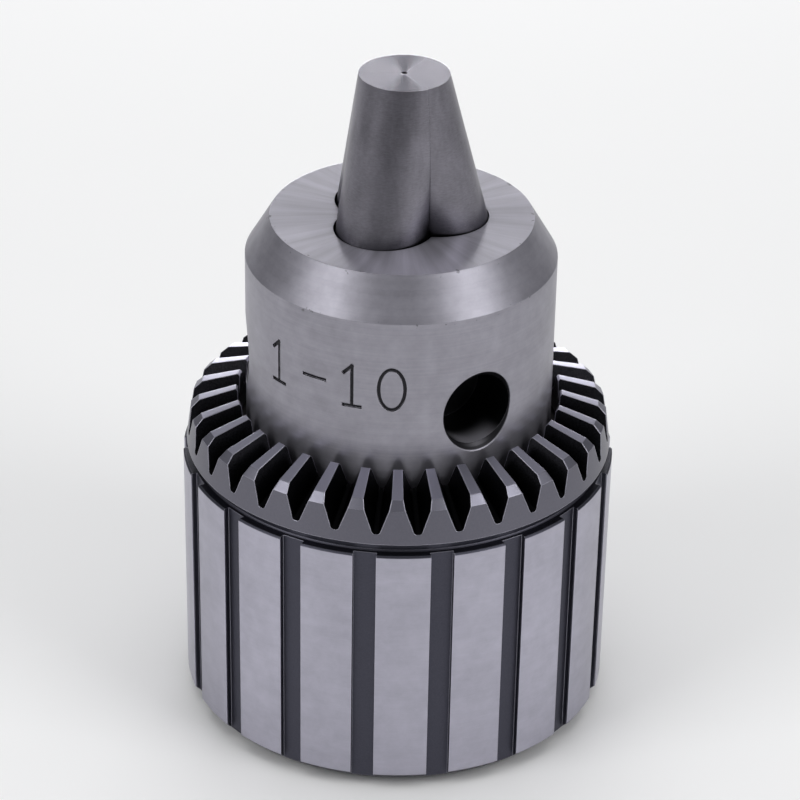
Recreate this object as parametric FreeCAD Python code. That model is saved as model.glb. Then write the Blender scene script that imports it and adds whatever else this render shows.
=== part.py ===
import FreeCAD, Part
import os
from math import sin, cos, tan, radians, degrees, sqrt, atan2

# Keyed three-jaw drill chuck, 1 to 10 mm, on a female B16 taper, drawn closed.
# Millimetres and degrees. +Z runs along the spindle axis towards the jaw tips.
# The origin is on the axis, in the rear face of the body hub. Jaw 1 is towards
# +X, jaws 2 and 3 at 120 and 240 degrees. Azimuths are measured from +X.

Vector = FreeCAD.Vector
ORIGIN = Vector(0, 0, 0)
X_AXIS = Vector(1, 0, 0)
Y_AXIS = Vector(0, 1, 0)
Z_AXIS = Vector(0, 0, 1)

# ---- dimensions shared by several pieces -----------------------------------
# jaws: round bars lying on a cone that closes towards the nose
JAW_AZIMUTHS = (0.0, 120.0, 240.0)
JAW_R = 5.20
JAW_TILT = 15.0           # between jaw bar and spindle axis
JAW_AXIS_NOSE = 4.25      # jaw axis to spindle axis, in the nose plane
JAW_TAIL_Z = 27.15        # where the jaw axis meets its rear end, closed
JAW_TRAVEL = 18.0         # along the jaw axis, closed to fully open
TILT_TAN = tan(radians(JAW_TILT))
TILT_COS = cos(radians(JAW_TILT))
JAW_DIR = Vector(-sin(radians(JAW_TILT)), 0, TILT_COS)   # jaw 1, tail to tip

NOSE_Z = 61.23
KEY_Z = 44.65             # height of the key axis

# nut groove in the body, and the sleeve bores around it
FLANGE_TOP_Z = 25.83      # rear wall of the groove, which the nut bears on
SEAT_TOP_Z = 33.95        # top wall of the groove
REAR_BORE_R = 22.70
SEAT_R = 22.00            # press seat for the nut
NUT_BOTTOM = FLANGE_TOP_Z + 0.02
NUT_TOP = SEAT_TOP_Z - 0.10

# right-hand conical thread, ridges on the nut and spaces in the jaws
LEAD = 2.00               # along the spindle axis
ENGAGE = 0.85             # how far the ridges reach inside the jaw outline
ROOT_CLEAR = 0.15         # nut root outside the jaw outline
FLANK_CLEAR = 0.13
RIDGE_SLOPE = 0.27        # half width gained per mm of depth
RIDGE_CREST_HALF = 0.33   # half width of a ridge at its crest
RIDGE_ROOT_HALF = RIDGE_CREST_HALF + RIDGE_SLOPE * (ENGAGE + ROOT_CLEAR)
THREAD_Z = NUT_BOTTOM + 0.45   # middle of a ridge at azimuth 0

UNDER_Z = 20.0            # level below the jaws and the nut, where cutters start


# ---- helpers ----------------------------------------------------------------
def closed_wire(points):
    return Part.makePolygon(points + [points[0]])


def turned(outline):
    """Solid of revolution about Z from a closed (r, z) outline."""
    wire = closed_wire([Vector(r, 0, z) for r, z in outline])
    return Part.Face(wire).revolve(ORIGIN, Z_AXIS, 360)


def about_z(shape, angle):
    turned_copy = shape.copy()
    turned_copy.rotate(ORIGIN, Z_AXIS, angle)
    return turned_copy


def axis_r(z):
    """Distance of the jaw axis from the spindle axis at height z."""
    return JAW_AXIS_NOSE - (z - NOSE_Z) * TILT_TAN


def outline_r(z):
    """Outermost line of the closed jaw at height z."""
    return axis_r(z) + JAW_R / TILT_COS


def bar(radius, z_low, z_high):
    """Round bar on the axis of jaw 1, ends square to that axis."""
    start = Vector(axis_r(z_low), 0, z_low)
    return Part.makeCylinder(radius, (z_high - z_low) / TILT_COS, start, JAW_DIR)


def one_solid(shape):
    """The largest solid, with its split faces merged."""
    return max(shape.removeSplitter().Solids, key=lambda solid: solid.Volume)


# ---- sleeve -----------------------------------------------------------------
SLEEVE_R = 25.00
SLEEVE_BOTTOM = 1.00
LAND_BOTTOM = 2.05
LAND_TOP = 31.67
NECK_R = 23.75
CROWN_BASE_R, CROWN_BASE_Z = 24.58, 32.81
TOOTH_FACE_R, TOOTH_FACE_Z = 24.04, 36.93
TOOTH_CHAMFER_R, TOOTH_CHAMFER_Z = 23.11, 37.85
CROWN_BORE_R = 18.60
CROWN_TOP_Z = 39.25

GROOVES = 18
GROOVE_PHASE = -98.5      # azimuth of one grip groove
GROOVE_W = 2.62
GROOVE_D = 0.75

TEETH = 33
TOOTH_PHASE = -90.3       # azimuth of one tooth
ROOT_OUTER_R, ROOT_OUTER_Z = 24.39, 34.17   # tooth root on the outer face
FLANK = 0.385             # half width a space gains per mm of height
FLANK_H = 4.40
# right half of a tooth space at the outer face: (half width, height above root),
# a rounded floor and then a straight flank
SPACE_HALF = [(0.18, 0.0), (0.35, 0.07), (0.45, 0.18), (0.51, 0.32),
              (0.51 + FLANK * FLANK_H, 0.32 + FLANK_H)]


def sleeve_blank():
    return turned([
        (REAR_BORE_R + 0.30, SLEEVE_BOTTOM),
        (SLEEVE_R - 1.05, SLEEVE_BOTTOM),
        (SLEEVE_R, LAND_BOTTOM),
        (SLEEVE_R, LAND_TOP - 0.20),
        (SLEEVE_R - 0.20, LAND_TOP),
        (NECK_R + 0.15, LAND_TOP),
        (NECK_R, LAND_TOP + 0.15),
        (NECK_R, CROWN_BASE_Z - 0.15),
        (NECK_R + 0.15, CROWN_BASE_Z),
        (CROWN_BASE_R - 0.12, CROWN_BASE_Z),
        (CROWN_BASE_R, CROWN_BASE_Z + 0.12),
        (TOOTH_FACE_R, TOOTH_FACE_Z),
        (TOOTH_CHAMFER_R, TOOTH_CHAMFER_Z),
        (CROWN_BORE_R + 0.25, CROWN_TOP_Z - 0.07),
        (CROWN_BORE_R, CROWN_TOP_Z - 0.35),
        (CROWN_BORE_R, SEAT_TOP_Z + 0.30),
        (CROWN_BORE_R + 0.30, SEAT_TOP_Z),
        (SEAT_R, SEAT_TOP_Z),
        (SEAT_R, FLANGE_TOP_Z + 0.52),
        (REAR_BORE_R, FLANGE_TOP_Z + 0.12),
        (REAR_BORE_R, SLEEVE_BOTTOM + 0.30),
    ])


def grip_groove():
    """Flat-bottomed groove over the whole length of the land, towards +X."""
    z_low = SLEEVE_BOTTOM - 1.0
    return Part.makeBox(3.0, GROOVE_W, LAND_TOP + 0.40 - z_low,
                        Vector(SLEEVE_R - GROOVE_D, -GROOVE_W / 2, z_low))


def space_section(radius):
    """Tooth space section at a radius; it shrinks to nothing at the pitch apex."""
    scale = radius / ROOT_OUTER_R
    root_z = KEY_Z - (KEY_Z - ROOT_OUTER_Z) * scale
    right = [(y * scale, height * scale) for y, height in SPACE_HALF]
    left = [(-y, height) for y, height in reversed(right)]
    return closed_wire([Vector(radius, y, root_z + height) for y, height in right + left])


def make_sleeve():
    groove = grip_groove()
    cutters = [about_z(groove, GROOVE_PHASE + k * 360.0 / GROOVES) for k in range(GROOVES)]
    # bevel tooth spaces: every edge runs to the pitch apex, where the key axis
    # crosses the spindle axis
    space = Part.makeLoft([space_section(27.0), space_section(16.0)], True, True)
    for k in range(TEETH):
        cutters.append(about_z(space, TOOTH_PHASE + (k + 0.5) * 360.0 / TEETH))
    return one_solid(sleeve_blank().cut(cutters))


# ---- body -------------------------------------------------------------------
NOSE_FACE_R = 14.87
BODY_R = 17.64
NOSE_SHOULDER_Z = 56.62   # where the nose chamfer meets the cylinder
CORE_R = 15.20            # floor of the nut groove
FLANGE_R = REAR_BORE_R - 0.06   # running fit in the sleeve
FLANGE_BOTTOM_Z = 2.20
HUB_R = 16.00
EDGE_CHAMFER = 0.60       # hub and flange, rear edges
FINE_CHAMFER = 0.30       # both edges of the nut groove

SHANK_BORE_R = 5.05       # clearance for the drill shank
SHANK_FLOOR_Z = 31.00     # where the conical floor of the shank bore starts
SHANK_FLOOR_H = 1.20

# arbor socket, taper B16
TAPER_D = 15.733          # before the lead-in
TAPER_LEN = 24.0
TAPER_RATE = 1.0 / 20.020
TAPER_LEAD_IN = 0.50
TAPER_RELIEF_R = 6.90
TAPER_RELIEF_Z = 25.60
TAPER_FLOOR_H = 0.90      # conical floor above the relief

JAW_BORE_R = JAW_R + 0.06   # running bore for the jaw bar
SINK_DEPTH = 1.75         # start of the jaw bore countersink, below the nose
SINK_LEN = 3.20

# key pilot holes, midway between the jaws
KEY_R = 4.20
KEY_FLOOR = 10.40         # radial position of the flat floor
KEY_CHAMFER = 0.22
KEY_RIM = 1.60            # length and flare of the chamfering cone

# size mark 1 - 10, engraved on the cylinder
MARK_Z = 48.55            # mid height
MARK_STROKE = 0.42
MARK_DEPTH = 0.22
MARK_REACH = 3.0          # tools reach this far inside and outside the surface
DIGIT_HALF_H = 2.50
ZERO_HALF_W = 1.45
DASH_HALF_W = 1.35
# strokes of the digit 1: (y0, z0, y1, z1) from its centre
DIGIT_ONE = [(0, -DIGIT_HALF_H, 0, DIGIT_HALF_H),
             (-0.95, 1.55, 0, DIGIT_HALF_H),
             (-0.95, -DIGIT_HALF_H, 0.95, -DIGIT_HALF_H)]
DASH = [(-DASH_HALF_W, 0, DASH_HALF_W, 0)]


def stroke(y0, z0, y1, z1):
    """Square-ended straight stroke across the body surface at +X."""
    length = sqrt((y1 - y0) ** 2 + (z1 - z0) ** 2)
    half = MARK_STROKE / 2
    box = Part.makeBox(2 * MARK_REACH, length + MARK_STROKE, MARK_STROKE,
                       Vector(BODY_R - MARK_REACH, -half, -half))
    box.rotate(ORIGIN, X_AXIS, degrees(atan2(z1 - z0, y1 - y0)))
    box.translate(Vector(0, y0, MARK_Z + z0))
    return box


def upright_oval(half_w, half_h):
    centre = Vector(BODY_R - MARK_REACH, 0, MARK_Z)
    edge = Part.Ellipse(centre, half_h, half_w).toShape()
    edge.rotate(centre, Y_AXIS, 90)
    return Part.Face(Part.Wire(edge)).extrude(Vector(2 * MARK_REACH, 0, 0))


def digit_zero():
    half = MARK_STROKE / 2
    outer = upright_oval(ZERO_HALF_W + half, DIGIT_HALF_H + half)
    return outer.cut(upright_oval(ZERO_HALF_W - half, DIGIT_HALF_H - half))


def size_mark_tools():
    """Engraving strokes, limited to a shell MARK_DEPTH below the surface."""
    floor_r, outer_r = BODY_R - MARK_DEPTH, BODY_R + 2
    shell = turned([(floor_r, MARK_Z - 6), (outer_r, MARK_Z - 6),
                    (outer_r, MARK_Z + 6), (floor_r, MARK_Z + 6)])
    marks = []
    for azimuth, strokes in ((-139.5, DIGIT_ONE), (-122.5, DASH), (-107.5, DIGIT_ONE)):
        marks += [about_z(stroke(*ends), azimuth) for ends in strokes]
    marks.append(about_z(digit_zero(), -93.0))
    return [mark.common(shell) for mark in marks]


def body_blank():
    groove_top = SEAT_TOP_Z + 0.05
    return turned([
        (0, 0),
        (HUB_R - EDGE_CHAMFER, 0),
        (HUB_R, EDGE_CHAMFER),
        (HUB_R, FLANGE_BOTTOM_Z),
        (FLANGE_R - EDGE_CHAMFER, FLANGE_BOTTOM_Z),
        (FLANGE_R, FLANGE_BOTTOM_Z + EDGE_CHAMFER),
        (FLANGE_R, FLANGE_TOP_Z - FINE_CHAMFER),
        (FLANGE_R - FINE_CHAMFER, FLANGE_TOP_Z),
        (CORE_R, FLANGE_TOP_Z),
        (CORE_R, groove_top),
        (BODY_R - FINE_CHAMFER, groove_top),
        (BODY_R, groove_top + FINE_CHAMFER),
        (BODY_R, NOSE_SHOULDER_Z),
        (NOSE_FACE_R, NOSE_Z),
        (0, NOSE_Z),
    ])


def arbor_socket():
    """Tapered socket with a lead-in at its mouth and a relief at its floor."""
    mouth_r = TAPER_D / 2
    lead_r = mouth_r + TAPER_LEAD_IN
    end_r = mouth_r - TAPER_LEN * TAPER_RATE / 2
    return turned([
        (0, -1), (lead_r, -1), (lead_r, 0), (mouth_r, TAPER_LEAD_IN),
        (end_r, TAPER_LEN), (TAPER_RELIEF_R, TAPER_LEN),
        (TAPER_RELIEF_R, TAPER_RELIEF_Z), (0, TAPER_RELIEF_Z + TAPER_FLOOR_H)])


def shank_bore():
    return turned([
        (0, SHANK_FLOOR_Z - SHANK_FLOOR_H), (SHANK_BORE_R, SHANK_FLOOR_Z),
        (SHANK_BORE_R, NOSE_Z + 1), (0, NOSE_Z + 1)])


def jaw_bore():
    """Bore from the nose, out through the rear flange, countersunk at its mouth."""
    bore = bar(JAW_BORE_R, JAW_TAIL_Z - (JAW_TRAVEL + 0.8) * TILT_COS, NOSE_Z + 6)
    sink_z = NOSE_Z - SINK_DEPTH
    sink = Part.makeCone(JAW_BORE_R - 0.02, JAW_BORE_R + 0.62, SINK_LEN,
                         Vector(axis_r(sink_z), 0, sink_z), JAW_DIR)
    return bore.fuse(sink)


def key_pilot():
    """Blind hole square to the spindle axis, chamfered at its rim."""
    rim_x = sqrt(BODY_R ** 2 - KEY_R ** 2) - KEY_CHAMFER
    pilot = Part.makeCylinder(KEY_R, 12, Vector(KEY_FLOOR, 0, KEY_Z), X_AXIS)
    rim = Part.makeCone(KEY_R, KEY_R + KEY_RIM, KEY_RIM, Vector(rim_x, 0, KEY_Z), X_AXIS)
    return pilot.fuse(rim)


def make_body():
    bore, pilot = jaw_bore(), key_pilot()
    cutters = [arbor_socket(), shank_bore()]
    cutters += [about_z(bore, azimuth) for azimuth in JAW_AZIMUTHS]
    cutters += [about_z(pilot, azimuth + 60) for azimuth in JAW_AZIMUTHS]
    return one_solid(body_blank().cut(cutters).cut(size_mark_tools()))


# ---- jaws -------------------------------------------------------------------
TIP_Z = 78.39             # plane of the closed jaw tips
GRIP_R = 0.35             # truncated gripping edge, radius left when closed
JAW_FACE_GAP = 0.012      # half gap between neighbouring flats
FLAT_AZIMUTH = radians(60)   # gripping flats, either side of the jaw's middle
TAIL_TRIM_R = 22.50       # the tail is turned to this radius when fully open
ARC_OVER = 0.60           # thread cutters reach this far past the nut root
ARC_FLOOR_CLEAR = 0.14    # jaw thread floor inside the nut ridge crest
ARC_SWEEP = 50            # degrees, centred on the jaw


def grip_wedge():
    """Space of jaw 1 between its two gripping flats."""
    y_far = 60 * tan(FLAT_AZIMUTH)
    outline = closed_wire([ORIGIN, Vector(60, y_far, 0), Vector(60, -y_far, 0)])
    wedge = Part.Face(outline).extrude(Vector(0, 0, 80))
    wedge.translate(Vector(JAW_FACE_GAP / sin(FLAT_AZIMUTH), 0, UNDER_Z))
    return wedge


def tail_trim():
    """Ring around the spindle axis as it lies to the fully open jaw."""
    ring = Part.makeCylinder(TAIL_TRIM_R + 20, 30, ORIGIN, Z_AXIS).cut(
        Part.makeCylinder(TAIL_TRIM_R, 30, ORIGIN, Z_AXIS))
    ring.translate(JAW_DIR * JAW_TRAVEL)
    return ring


def thread_arcs(azimuth):
    """Arcs across the outside of jaw 1, in step with the nut ridge at azimuth."""
    mid_z = THREAD_Z + LEAD * azimuth / 360.0 + 2 * LEAD
    mid_r = outline_r(mid_z)
    top_r = mid_r + ROOT_CLEAR + ARC_OVER
    low_r = mid_r - ENGAGE - ARC_FLOOR_CLEAR
    top_half = RIDGE_ROOT_HALF + FLANK_CLEAR + RIDGE_SLOPE * ARC_OVER
    low_half = RIDGE_CREST_HALF + FLANK_CLEAR * 0.9
    # (radius, height) from mid_z, sheared to follow the jaw's outline
    corners = [(low_r, -low_half), (low_r, low_half), (top_r, top_half), (top_r, -top_half)]
    face = Part.Face(closed_wire([Vector(r - h * TILT_TAN, 0, mid_z + h) for r, h in corners]))
    face.rotate(ORIGIN, Z_AXIS, -ARC_SWEEP / 2)
    arc = face.revolve(ORIGIN, Z_AXIS, ARC_SWEEP)

    first = int((JAW_TAIL_Z - 3 - mid_z) / LEAD) - 1
    last = int((NUT_TOP + JAW_TRAVEL * TILT_COS + 0.8 - mid_z) / LEAD)
    arcs = []
    for n in range(first, last + 1):
        shifted = arc.copy()
        shifted.translate(JAW_DIR * (n * LEAD / TILT_COS))
        arcs.append(shifted)
    return arcs


def make_jaw(azimuth):
    jaw = bar(JAW_R, JAW_TAIL_Z, TIP_Z + 6)
    jaw = jaw.cut(Part.makeBox(60, 60, 20, Vector(-30, -30, TIP_Z)))   # flat tip
    jaw = jaw.common(grip_wedge())
    jaw = jaw.cut(Part.makeCylinder(GRIP_R, 80, Vector(0, 0, UNDER_Z), Z_AXIS))
    jaw = jaw.cut(tail_trim())
    return about_z(one_solid(jaw.cut(thread_arcs(azimuth))), azimuth)


# ---- nut: a threaded ring snapped into two halves ---------------------------
SPLIT_AZ = 30.0           # azimuth of the fracture plane
SPLIT_GAP = 0.04          # on each half this is halved
NUT_CHAMFER = 0.35        # outer edges
SWEEP_DEG = 200.0         # one thread cut, a half turn and 10 degrees each end
CUT_OVER = 0.50           # thread cutters reach this far inside the ridge crest


def nut_blank():
    def crest_r(z):
        return outline_r(z) - ENGAGE

    return turned([
        (crest_r(NUT_BOTTOM) + 0.25, NUT_BOTTOM),
        (SEAT_R - NUT_CHAMFER, NUT_BOTTOM),
        (SEAT_R, NUT_BOTTOM + NUT_CHAMFER),
        (SEAT_R, NUT_TOP - NUT_CHAMFER),
        (SEAT_R - NUT_CHAMFER, NUT_TOP),
        (crest_r(NUT_TOP) + 0.25, NUT_TOP),
        (crest_r(NUT_TOP - 0.3), NUT_TOP - 0.3),
        (crest_r(NUT_BOTTOM + 0.3), NUT_BOTTOM + 0.3)])


def thread_space(start_z):
    """Swept thread space that starts at start_z, azimuth 0, and runs down.

    It is drawn on a cone widening upwards and turned over, which keeps it
    right-handed.
    """
    start_r = outline_r(start_z)
    turns = SWEEP_DEG / 360.0
    helix = Part.makeHelix(LEAD / TILT_COS, turns * LEAD / TILT_COS, start_r, JAW_TILT)
    root_half = LEAD / 2 - RIDGE_ROOT_HALF
    inner_half = LEAD / 2 - RIDGE_CREST_HALF + RIDGE_SLOPE * CUT_OVER
    inner = -ENGAGE - CUT_OVER
    # (radial offset from the jaw outline, height)
    corners = [(ROOT_CLEAR, root_half), (inner, inner_half),
               (inner, -inner_half), (ROOT_CLEAR, -root_half)]
    sweep = Part.BRepOffsetAPI.MakePipeShell(Part.Wire(helix.Edges))
    sweep.setBiNormalMode(Z_AXIS)
    sweep.add(closed_wire([Vector(start_r + dr + h * TILT_TAN, 0, h) for dr, h in corners]))
    sweep.build()
    sweep.makeSolid()
    space = sweep.shape()
    space.rotate(ORIGIN, X_AXIS, 180)
    space.translate(Vector(0, 0, start_z))
    return space


def make_nut_half(side):
    """Half of the nut; every turn of the thread crosses it as one swept arc."""
    block = Part.makeBox(60, 30, 30, Vector(-30, SPLIT_GAP / 2, UNDER_Z))
    half = one_solid(nut_blank().common(about_z(block, SPLIT_AZ + side)))
    start_az = SPLIT_AZ + side + 190.0
    for k in range(-2, 6):
        start_z = THREAD_Z + LEAD / 2 + LEAD * start_az / 360.0 + k * LEAD
        end_z = start_z - LEAD * SWEEP_DEG / 360.0
        if end_z <= NUT_TOP + 1.2 and start_z >= NUT_BOTTOM - 1.2:
            half = half.cut(about_z(thread_space(start_z), start_az))
    return one_solid(half)


# ---- export -----------------------------------------------------------------
os.makedirs("parts", exist_ok=True)
pieces = {
    "body": make_body(),
    "sleeve": make_sleeve(),
    "nut_half_a": make_nut_half(0),
    "nut_half_b": make_nut_half(180),
}
for number, azimuth in enumerate(JAW_AZIMUTHS, 1):
    pieces["jaw_%d" % number] = make_jaw(azimuth)
for name, shape in pieces.items():
    shape.exportStep("parts/" + name + ".step")
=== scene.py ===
"""Three-jaw chuck standing on a pale floor, its axis along +Z and its nose and jaws upwards.

The pieces come from the CAD. This script gives them their metals and adds the floor, lights,
world and camera. The scene is in metres; places inside the metals are in millimetres in the
part's own frame, whose Z is the axis.
"""

import math
import bpy
from mathutils import Matrix, Vector


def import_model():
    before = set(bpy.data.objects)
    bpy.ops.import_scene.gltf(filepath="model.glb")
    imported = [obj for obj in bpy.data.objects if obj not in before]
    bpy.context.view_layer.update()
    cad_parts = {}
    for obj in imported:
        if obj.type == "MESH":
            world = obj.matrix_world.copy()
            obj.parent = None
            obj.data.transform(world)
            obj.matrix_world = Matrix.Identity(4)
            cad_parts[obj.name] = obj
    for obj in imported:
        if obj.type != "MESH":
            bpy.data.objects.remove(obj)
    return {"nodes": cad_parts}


MM = 0.001

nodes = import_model()["nodes"]
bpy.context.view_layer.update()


# ---------------------------------------------------------------- node helpers
class Value:
    """A shader output; arithmetic on it adds Math nodes."""

    def __init__(self, net, socket):
        self.net = net
        self.socket = socket

    def __add__(self, other):
        return self.net.math("ADD", self, other)

    def __radd__(self, other):
        return self.net.math("ADD", other, self)

    def __sub__(self, other):
        return self.net.math("SUBTRACT", self, other)

    def __rsub__(self, other):
        return self.net.math("SUBTRACT", other, self)

    def __mul__(self, other):
        return self.net.math("MULTIPLY", self, other)

    def __truediv__(self, other):
        return self.net.math("DIVIDE", self, other)

    def max(self, other):
        return self.net.math("MAXIMUM", self, other)

    def swing(self, amount):
        """Centre a 0..1 noise on zero and scale its whole range to amount."""
        return (self - 0.5) * amount

    def ramp(self, low, high, start, end):
        """Go smoothly from start to end while the value goes from low to high."""
        inputs = {"Value": self, "From Min": low, "From Max": high, "To Min": start, "To Max": end}
        return self.net.value("ShaderNodeMapRange", inputs, interpolation_type="SMOOTHSTEP")

    def rise(self, low, high):
        return self.ramp(low, high, start=0.0, end=1.0)

    def fall(self, low, high):
        return self.ramp(low, high, start=1.0, end=0.0)

    def band(self, low, high, soft):
        """1 between low and high, with soft edges."""
        return self.rise(low - soft, low + soft) * self.fall(high - soft, high + soft)


class Material:
    """A material whose node tree is built from Values."""

    def __init__(self, name):
        self.material = bpy.data.materials.new(name)
        self.material.use_nodes = True
        self.tree = self.material.node_tree
        self.tree.nodes.clear()
        self.output = self.node("ShaderNodeOutputMaterial")

    def put(self, socket, value):
        if isinstance(value, Value):
            self.tree.links.new(value.socket, socket)
        else:
            socket.default_value = value

    def node(self, kind, inputs=None, **settings):
        node = self.tree.nodes.new(kind)
        for key, setting in settings.items():
            setattr(node, key, setting)
        for key, value in (inputs or {}).items():
            self.put(node.inputs[key], value)
        return node

    def value(self, kind, inputs=None, output=0, **settings):
        return Value(self, self.node(kind, inputs, **settings).outputs[output])

    def principled(self, inputs):
        """Add the surface shader and connect it to the output."""
        shader = self.node("ShaderNodeBsdfPrincipled", inputs)
        self.put(self.output.inputs["Surface"], Value(self, shader.outputs[0]))
        return shader

    def math(self, operation, first, second=None, clamp=False):
        inputs = {0: first}
        if second is not None:
            inputs[1] = second
        return self.value("ShaderNodeMath", inputs, operation=operation, use_clamp=clamp)

    def normalize(self, vector):
        return self.value("ShaderNodeVectorMath", {0: vector}, operation="NORMALIZE")

    def xyz(self, x, y, z):
        return self.value("ShaderNodeCombineXYZ", {0: x, 1: y, 2: z})

    def split(self, vector):
        separate = self.node("ShaderNodeSeparateXYZ", {0: vector})
        return [Value(self, socket) for socket in separate.outputs]

    def turn_vector(self, vector, kind, source, target):
        return self.value("ShaderNodeVectorTransform", {0: vector}, vector_type=kind,
                          convert_from=source, convert_to=target)

    def noise(self, vector, scale, detail, rough):
        inputs = {"Vector": vector, "Scale": scale, "Detail": detail, "Roughness": rough}
        return self.value("ShaderNodeTexNoise", inputs)

    def mix(self, mask, off, on):
        return self.value("ShaderNodeMix", {0: mask, 2: off, 3: on}, data_type="FLOAT")

    def mix_color(self, mask, off, on):
        # the colour sockets of a Mix node are inputs 6 and 7 and output 2
        inputs = {0: mask, 6: off, 7: on}
        return self.value("ShaderNodeMix", inputs, output=2, data_type="RGBA")

    def shade(self, brightness, tint):
        """Colour of a varying brightness."""
        return self.mix_color(brightness, tinted(0.0, tint), tinted(1.0, tint))

    def cover(self, color, mask, level, tint):
        """Lay a flat tinted grey over the colour where the mask is 1."""
        return self.mix_color(mask, color, tinted(level, tint))


def tinted(level, tint):
    red, green, blue = tint
    return (level * red, level * green, level * blue, 1.0)


def part_place(net):
    """Point in the part's frame in mm, its x, y, z, its radius from the axis and its azimuth."""
    meters = net.value("ShaderNodeTexCoord", output="Object")
    point = net.value("ShaderNodeVectorMath", {0: meters, 1: (1000.0, 1000.0, 1000.0)},
                      operation="MULTIPLY")
    x, y, z = net.split(point)
    radius = net.math("SQRT", x * x + y * y)
    azimuth = net.math("ARCTAN2", y, x)
    return point, x, y, z, radius, azimuth


def part_normal(net):
    """Components of the surface normal in the part's frame."""
    normal = net.value("ShaderNodeNewGeometry", output="Normal")
    return net.split(net.turn_vector(normal, "NORMAL", "WORLD", "OBJECT"))


def around_axis(net, x, y):
    """Tangent that runs round the part's Z axis, in world space."""
    tangent = net.normalize(net.xyz(y * -1.0, x, 0.0))
    return net.normalize(net.turn_vector(tangent, "VECTOR", "OBJECT", "WORLD"))


def edge_wear(net, width, gain):
    """Mask of sharp bends, from the rounded normal against the true one; and the rounded normal."""
    rounded = net.value("ShaderNodeBevel", {"Radius": width}, samples=8)
    normal = net.value("ShaderNodeNewGeometry", output="Normal")
    aligned = net.value("ShaderNodeVectorMath", {0: rounded, 1: normal},
                        output="Value", operation="DOT_PRODUCT")
    return net.math("MULTIPLY", 1.0 - aligned, gain, clamp=True), rounded


def painted_occlusion_shade(net, distance, low, high):
    """Mask of where neighbouring surfaces close in on each other, for painted shade in the creases.
    """
    openness = net.value("ShaderNodeAmbientOcclusion", {"Distance": distance},
                         output="AO", samples=8)
    return openness.fall(low, high)


def broad_noise(net, x, y, z, across, along):
    """Slow drift over the part; across and along scale the plane and the axis."""
    place = net.xyz(x * across, y * across, z * along)
    return net.noise(place, scale=1.0, detail=4.0, rough=0.6)


def finish_metal(net, color, rough, anisotropy, tangent, height, bump, normal):
    bumped = net.value("ShaderNodeBump", {
        "Strength": bump,
        "Distance": 0.02 * MM,
        "Height": height,
        "Normal": normal,
    })
    return net.principled({
        "Metallic": 1.0,
        "Base Color": color,
        "Roughness": rough,
        "Anisotropic": anisotropy,
        "Tangent": tangent,
        "Normal": bumped,
    })


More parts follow.
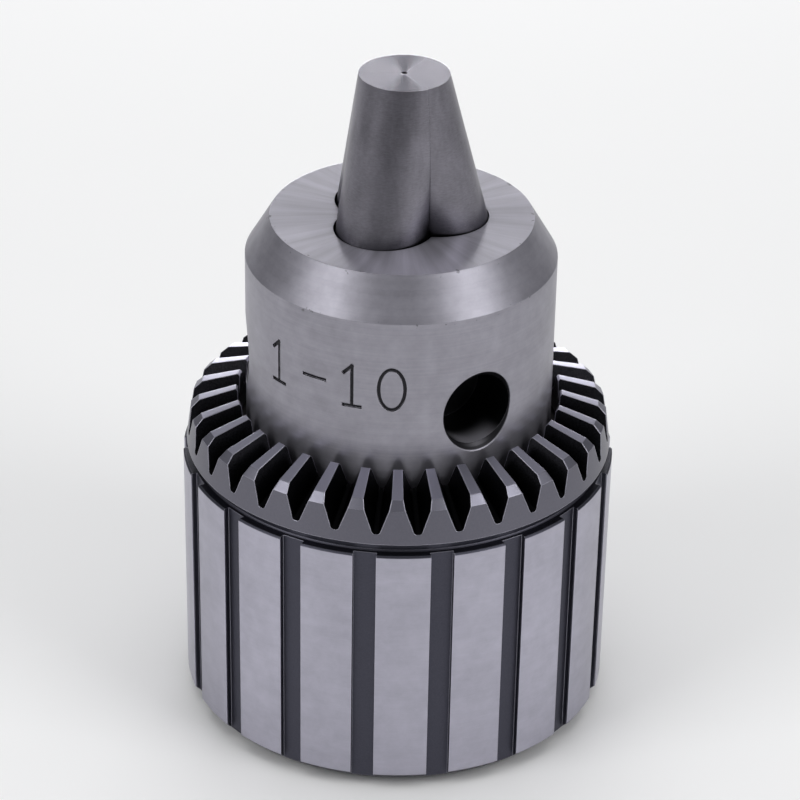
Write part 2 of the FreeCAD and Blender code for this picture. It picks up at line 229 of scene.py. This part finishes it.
# ---------------------------------------------------------------- metals
def body_material():
    """Turned steel: the faced nose is painted brighter as a highlight, holes, creases and the low
    end carry painted shade, and the rims are worn.
    """
    net = Material("turned_steel")
    point, x, y, z, radius, azimuth = part_place(net)
    normal_z = part_normal(net)[2]
    wear, rounded = edge_wear(net, width=0.10 * MM, gain=5.0)
    steel = (1.0, 0.98, 1.10)
    chamfer_foot = dict(low=56.55, high=56.70)

    # lathe lines: rings that depend on height on the cylinder and on radius on the face
    line = z + radius * 1.35
    rings = net.noise(net.xyz(0.0, 0.0, line), scale=9.0, detail=6.0, rough=0.75)
    wide_rings = net.noise(net.xyz(azimuth * 0.35, 0.0, line), scale=2.2, detail=4.0, rough=0.6)
    broad = broad_noise(net, x, y, z, across=0.08, along=0.08)
    cloud = net.noise(point, scale=0.45, detail=5.0, rough=0.65)
    turned = (0.305 + rings.swing(0.11) + wide_rings.swing(0.09)
              + broad.swing(0.16) + cloud.swing(0.15))

    # the faced nose is painted brighter than the cylinder, with faint wedges round the axis: a
    # painted highlight and painted glints standing in for the turned face's reflection, over real
    # tool-mark rings
    face = normal_z.rise(low=0.80, high=0.90) * z.rise(low=60.9, high=61.1)
    chamfer = normal_z.band(low=0.40, high=0.66, soft=0.04) * z.rise(**chamfer_foot)
    circle = net.xyz(net.math("COSINE", azimuth) * 5.0, net.math("SINE", azimuth) * 5.0,
                     radius * 0.03)
    wedge_glint = net.noise(circle, scale=1.6, detail=4.0, rough=0.6)
    painted_face_highlight = 0.54 + wedge_glint.swing(0.42) + rings.swing(0.10)
    color = net.shade(net.mix(face, off=turned, on=painted_face_highlight), tint=(1.0, 0.975, 1.11))

    # painted shade: the insides of bores and holes and the low end under the sleeve are painted
    # dark, and the engraved strokes with them
    inside = radius.fall(low=17.50, high=17.60)
    below_face = z.fall(low=61.00, high=61.15)
    upward = z.rise(**chamfer_foot) * normal_z.rise(low=0.35, high=0.45)
    recess_shade = inside * below_face * (1.0 - upward)
    recess_shade = recess_shade.max(z.fall(low=34.55, high=34.85) * 0.8)
    color = net.cover(color, recess_shade, level=0.030, tint=steel)

    # painted light: the upward-facing lower walls inside the key holes are painted lighter, where
    # light falls in
    lit_lower_wall = radius.fall(low=17.20, high=17.35) * z.band(low=39.5, high=50.0, soft=0.2)
    lit_lower_wall = lit_lower_wall * (normal_z.rise(low=0.62, high=0.98) * radius.rise(low=13.4, high=16.2))
    color = net.cover(color, lit_lower_wall, level=0.36, tint=steel)

    # uneven edge wear, with a few small nicks along the two rims of the shoulder
    patches = net.noise(point, scale=0.9, detail=3.0, rough=0.6)
    patchy = patches.ramp(low=0.38, high=0.62, start=0.35, end=1.0)
    outside = radius.rise(low=17.0, high=17.2).max(z.rise(low=50.0, high=50.5))
    color = net.cover(color, wear * patchy * outside * 0.5, level=0.80, tint=(1.0, 0.975, 1.10))
    top_rim = z.band(low=60.75, high=61.30, soft=0.12) * radius.rise(low=14.45, high=14.60)
    rims = z.band(low=56.25, high=56.85, soft=0.15).max(top_rim)
    dents = net.noise(point, scale=1.1, detail=3.0, rough=0.55)
    nick = dents.rise(low=0.645, high=0.675) * rims
    color = net.cover(color, nick * 0.7, level=0.11, tint=(1.0, 0.98, 1.08))
    # painted shade in the creases round the jaw roots above the shoulder
    crease_shade = painted_occlusion_shade(net, distance=2.2 * MM, low=0.40, high=0.78) * z.rise(low=56.8, high=57.4)
    color = net.cover(color, crease_shade * 0.75, level=0.022, tint=(1.0, 0.98, 1.05))

    rough = 0.33 + rings.swing(0.12) + chamfer * 0.05
    anisotropy = net.mix(chamfer, off=net.mix(face, off=0.75, on=0.92), on=0.50)
    shader = finish_metal(
        net, color,
        rough=net.mix(recess_shade, off=rough, on=0.42),
        anisotropy=net.mix(recess_shade, off=anisotropy, on=0.2),
        tangent=around_axis(net, x, y),
        height=rings * 1.0 + wide_rings * 0.6,
        bump=0.30, normal=rounded)
    metallic = net.mix(recess_shade, off=0.76, on=net.mix(lit_lower_wall, off=1.0, on=0.50))
    net.put(shader.inputs["Metallic"], metallic)
    return net.material


def sleeve_material():
    """Blacked steel with a bright ground band and a toothed crown on top."""
    net = Material("ground_and_blacked_steel")
    point, x, y, z, radius, azimuth = part_place(net)
    normal_x, normal_y, normal_z = part_normal(net)
    wear, rounded = edge_wear(net, width=0.16 * MM, gain=7.0)
    land = radius.rise(low=24.72, high=24.88) * z.fall(low=31.40, high=31.50)
    land = land * z.rise(low=1.80, high=2.10)
    crown = z.rise(low=32.75, high=32.95)

    # grinding lines run round the bright band
    fine = net.noise(net.xyz(azimuth * 0.9, 0.0, z), scale=11.0, detail=6.0, rough=0.75)
    medium = net.noise(net.xyz(azimuth * 1.4, 0.0, z * 0.5), scale=1.6, detail=5.0, rough=0.6)
    broad = broad_noise(net, x, y, z, across=0.1, along=0.1)
    cloud = net.noise(point, scale=0.5, detail=5.0, rough=0.65)
    ground = (0.425 + fine.swing(0.10) + medium.swing(0.07)
              + broad.swing(0.14) + cloud.swing(0.14))
    bright = net.shade(ground, tint=(0.985, 0.965, 1.13))
    speck = net.noise(point, scale=5.0, detail=5.0, rough=0.7)
    dark = net.shade(0.076 + speck.swing(0.035), tint=(0.97, 0.97, 1.25))

    # painted light on the crown: the tooth flanks get painted shade, the top lands and the sloping
    # corners a painted highlight, against the turned outer face
    radial = net.math("ABSOLUTE", x / radius * normal_x + y / radius * normal_y)
    flank_shade = radial.fall(low=0.55, high=0.80) * normal_z.fall(low=0.70, high=0.85)
    top_land = normal_z.rise(low=0.88, high=0.94)
    corner_highlight = normal_z.band(low=0.30, high=0.88, soft=0.04) * z.rise(low=36.85, high=37.00)
    turned = net.mix(corner_highlight, off=net.mix(top_land, off=0.150, on=0.58), on=0.42)
    teeth = net.mix(flank_shade, off=turned, on=0.020) + speck.swing(0.05)
    crown_color = net.shade(teeth, tint=(0.98, 0.965, 1.16))

    # height above the floor of the tooth spaces, which slopes down outwards
    above_floor = z + radius * 0.4297 - 44.65
    # painted shade on the floors of the tooth spaces
    gap_shade = above_floor.fall(low=0.35, high=0.60) * normal_z.rise(low=0.25, high=0.40)
    crown_color = net.cover(crown_color, gap_shade, level=0.010, tint=(1.0, 1.0, 1.10))

    color = net.mix_color(crown, off=dark, on=crown_color)
    color = net.mix_color(land, off=color, on=bright)
    worn = wear * net.mix(crown, off=0.30, on=net.mix(gap_shade, off=0.90, on=0.0))
    color = net.cover(color, worn, level=0.76, tint=(0.98, 0.965, 1.12))
    crown_rough = net.mix(top_land, off=0.34, on=0.46)
    rough = net.mix(land, off=net.mix(crown, off=0.46, on=crown_rough), on=0.30)
    finish_metal(
        net, color,
        rough=rough + fine.swing(0.12),
        anisotropy=net.mix(land, off=0.15, on=0.45),
        tangent=around_axis(net, x, y),
        height=net.mix(land, off=speck * 1.6, on=fine),
        bump=0.30, normal=rounded)
    return net.material


def jaw_material():
    """Ground steel bars whose ringed tips are painted bright as a highlight, with painted shade in
    the creases.
    """
    net = Material("ground_jaw_steel")
    _, x, y, z, radius, azimuth = part_place(net)
    normal_z = part_normal(net)[2]
    wear, rounded = edge_wear(net, width=0.05 * MM, gain=5.0)
    tip = normal_z.rise(low=0.9, high=0.97)

    fine = net.noise(net.xyz(x * 0.7, y * 0.7, z * 3.2), scale=2.6, detail=6.0, rough=0.7)
    rings = net.noise(net.xyz(0.0, 0.0, radius), scale=8.0, detail=5.0, rough=0.75)
    broad = broad_noise(net, x, y, z, across=0.15, along=0.10)
    # long faint streaks from grinding the bar
    streaks = net.noise(net.xyz(azimuth * 3.5, radius * 0.4, z * 0.16),
                        scale=1.5, detail=5.0, rough=0.65)
    side = 0.215 + fine.swing(0.16) + broad.swing(0.16) + streaks.swing(0.12)
    # the upward tips are painted much brighter than the sides: a painted highlight, over real
    # turning rings
    brightness = net.mix(tip, off=side, on=0.62 + rings.swing(0.3))
    color = net.shade(brightness, tint=(1.0, 0.965, 1.10))
    color = net.cover(color, wear * 0.45, level=0.75, tint=(1.0, 0.97, 1.10))
    # painted shade in the creases between the jaws and round their roots, on the sides only
    crease_shade = painted_occlusion_shade(net, distance=4.5 * MM, low=0.50, high=0.90)
    crease_shade = crease_shade * normal_z.fall(low=0.8, high=0.9)
    color = net.cover(color, crease_shade * 0.80, level=0.020, tint=(1.0, 0.97, 1.05))
    finish_metal(
        net, color,
        rough=net.mix(tip, off=0.34, on=0.25) + fine.swing(0.14),
        anisotropy=net.mix(tip, off=0.4, on=0.95),
        tangent=around_axis(net, x, y),
        height=net.mix(tip, off=fine, on=rings),
        bump=0.35, normal=rounded)
    return net.material


def nut_material():
    """Oiled steel, slightly warm."""
    net = Material("oiled_nut_steel")
    point, x, y, z, radius, azimuth = part_place(net)
    wear, rounded = edge_wear(net, width=0.08 * MM, gain=5.0)
    warm = (1.0, 0.97, 0.93)
    fine = net.noise(net.xyz(azimuth * 0.6, radius * 1.0, z), scale=7.0, detail=6.0, rough=0.7)
    spots = net.noise(point, scale=0.9, detail=5.0, rough=0.6)
    color = net.shade(0.22 + fine.swing(0.14) + spots.swing(0.14), tint=warm)
    color = net.cover(color, wear * 0.4, level=0.8, tint=warm)
    finish_metal(
        net, color,
        rough=0.34 + spots.swing(0.16),
        anisotropy=0.4,
        tangent=around_axis(net, x, y),
        height=fine,
        bump=0.3, normal=rounded)
    return net.material


def assign(names, material):
    for name in names:
        slots = nodes[name].data.materials
        slots.clear()
        slots.append(material)


assign(["body"], body_material())
assign(["sleeve"], sleeve_material())
assign(["jaw_1", "jaw_2", "jaw_3"], jaw_material())
assign(["nut_half_a", "nut_half_b"], nut_material())


# ---------------------------------------------------------------- floor
FLOOR_HALF = 1.6
FLOOR_Z = -0.05 * MM


def floor_material():
    net = Material("pale_floor")
    place = net.value("ShaderNodeTexCoord", output="Object")
    mottle = net.noise(place, scale=14.0, detail=4.0, rough=0.5)
    color = net.shade(0.91 + mottle.swing(0.02), tint=(1.0, 1.0, 1.0))
    net.principled({"Base Color": color, "Roughness": 0.65})
    return net.material


def add_floor():
    mesh = bpy.data.meshes.new("floor")
    corners = [(x * FLOOR_HALF, y * FLOOR_HALF, FLOOR_Z)
               for x, y in ((-1, -1), (1, -1), (1, 1), (-1, 1))]
    mesh.from_pydata(corners, [], [(0, 1, 2, 3)])
    floor = bpy.data.objects.new("floor", mesh)
    bpy.context.scene.collection.objects.link(floor)
    mesh.materials.append(floor_material())


add_floor()


# ---------------------------------------------------------------- light
LIGHT_TARGET = Vector((0, 0, 0.045))
# name, location, width, height, watts
AREA_LIGHTS = [
    ("softbox_left", (-0.555, -0.345, 0.46), 0.36, 0.50, 2.0),
    ("softbox_right", (0.555, -0.345, 0.46), 0.36, 0.50, 2.0),
    ("softbox_back", (0.0, 0.80, 0.13), 0.60, 0.22, 3.0),
    ("top_soft", (0.0, 0.1, 1.3), 1.6, 1.6, 9.0),
]


def add_area_light(name, location, width, height, watts):
    data = bpy.data.lights.new(name, "AREA")
    data.shape = "RECTANGLE"
    data.size = width
    data.size_y = height
    data.energy = watts
    light = bpy.data.objects.new(name, data)
    light.location = location
    aim = LIGHT_TARGET - Vector(location)
    light.rotation_euler = aim.to_track_quat("-Z", "Y").to_euler()
    bpy.context.scene.collection.objects.link(light)
    return light


lights = [add_area_light(*row) for row in AREA_LIGHTS]
# the top light fills without showing in the metal
lights[-1].visible_glossy = False

world = bpy.data.worlds.new("studio")
bpy.context.scene.world = world
world.use_nodes = True
background = world.node_tree.nodes["Background"]
background.inputs["Color"].default_value = (0.80, 0.81, 0.84, 1)
background.inputs["Strength"].default_value = 0.24


# ---------------------------------------------------------------- camera
CAMERA_PLACE = Vector((0.0, -304.795 * MM, 211.758 * MM))
# radians: pitch down from level, yaw from +Y towards +X, roll about the view line
PITCH, YAW, ROLL = 0.5200, 0.0005, 0.0182
# turn of the placed camera about the Z axis
TURN = math.radians(-0.5)


def add_camera():
    data = bpy.data.cameras.new("camera")
    data.sensor_width = 36.0
    data.lens = 136.35
    data.clip_start = 0.01
    data.clip_end = 20.0
    camera = bpy.data.objects.new("camera", data)
    bpy.context.scene.collection.objects.link(camera)
    forward = Vector((math.sin(YAW) * math.cos(PITCH), math.cos(YAW) * math.cos(PITCH),
                      -math.sin(PITCH)))
    level_right = Vector((math.cos(YAW), -math.sin(YAW), 0.0))
    level_up = level_right.cross(forward)
    right = math.cos(ROLL) * level_right + math.sin(ROLL) * level_up
    up = -math.sin(ROLL) * level_right + math.cos(ROLL) * level_up
    placed = Matrix((right, up, -forward)).transposed().to_4x4()
    placed.translation = CAMERA_PLACE
    camera.matrix_world = Matrix.Rotation(TURN, 4, "Z") @ placed
    bpy.context.scene.camera = camera


add_camera()
bpy.context.scene.view_settings.view_transform = "Standard"
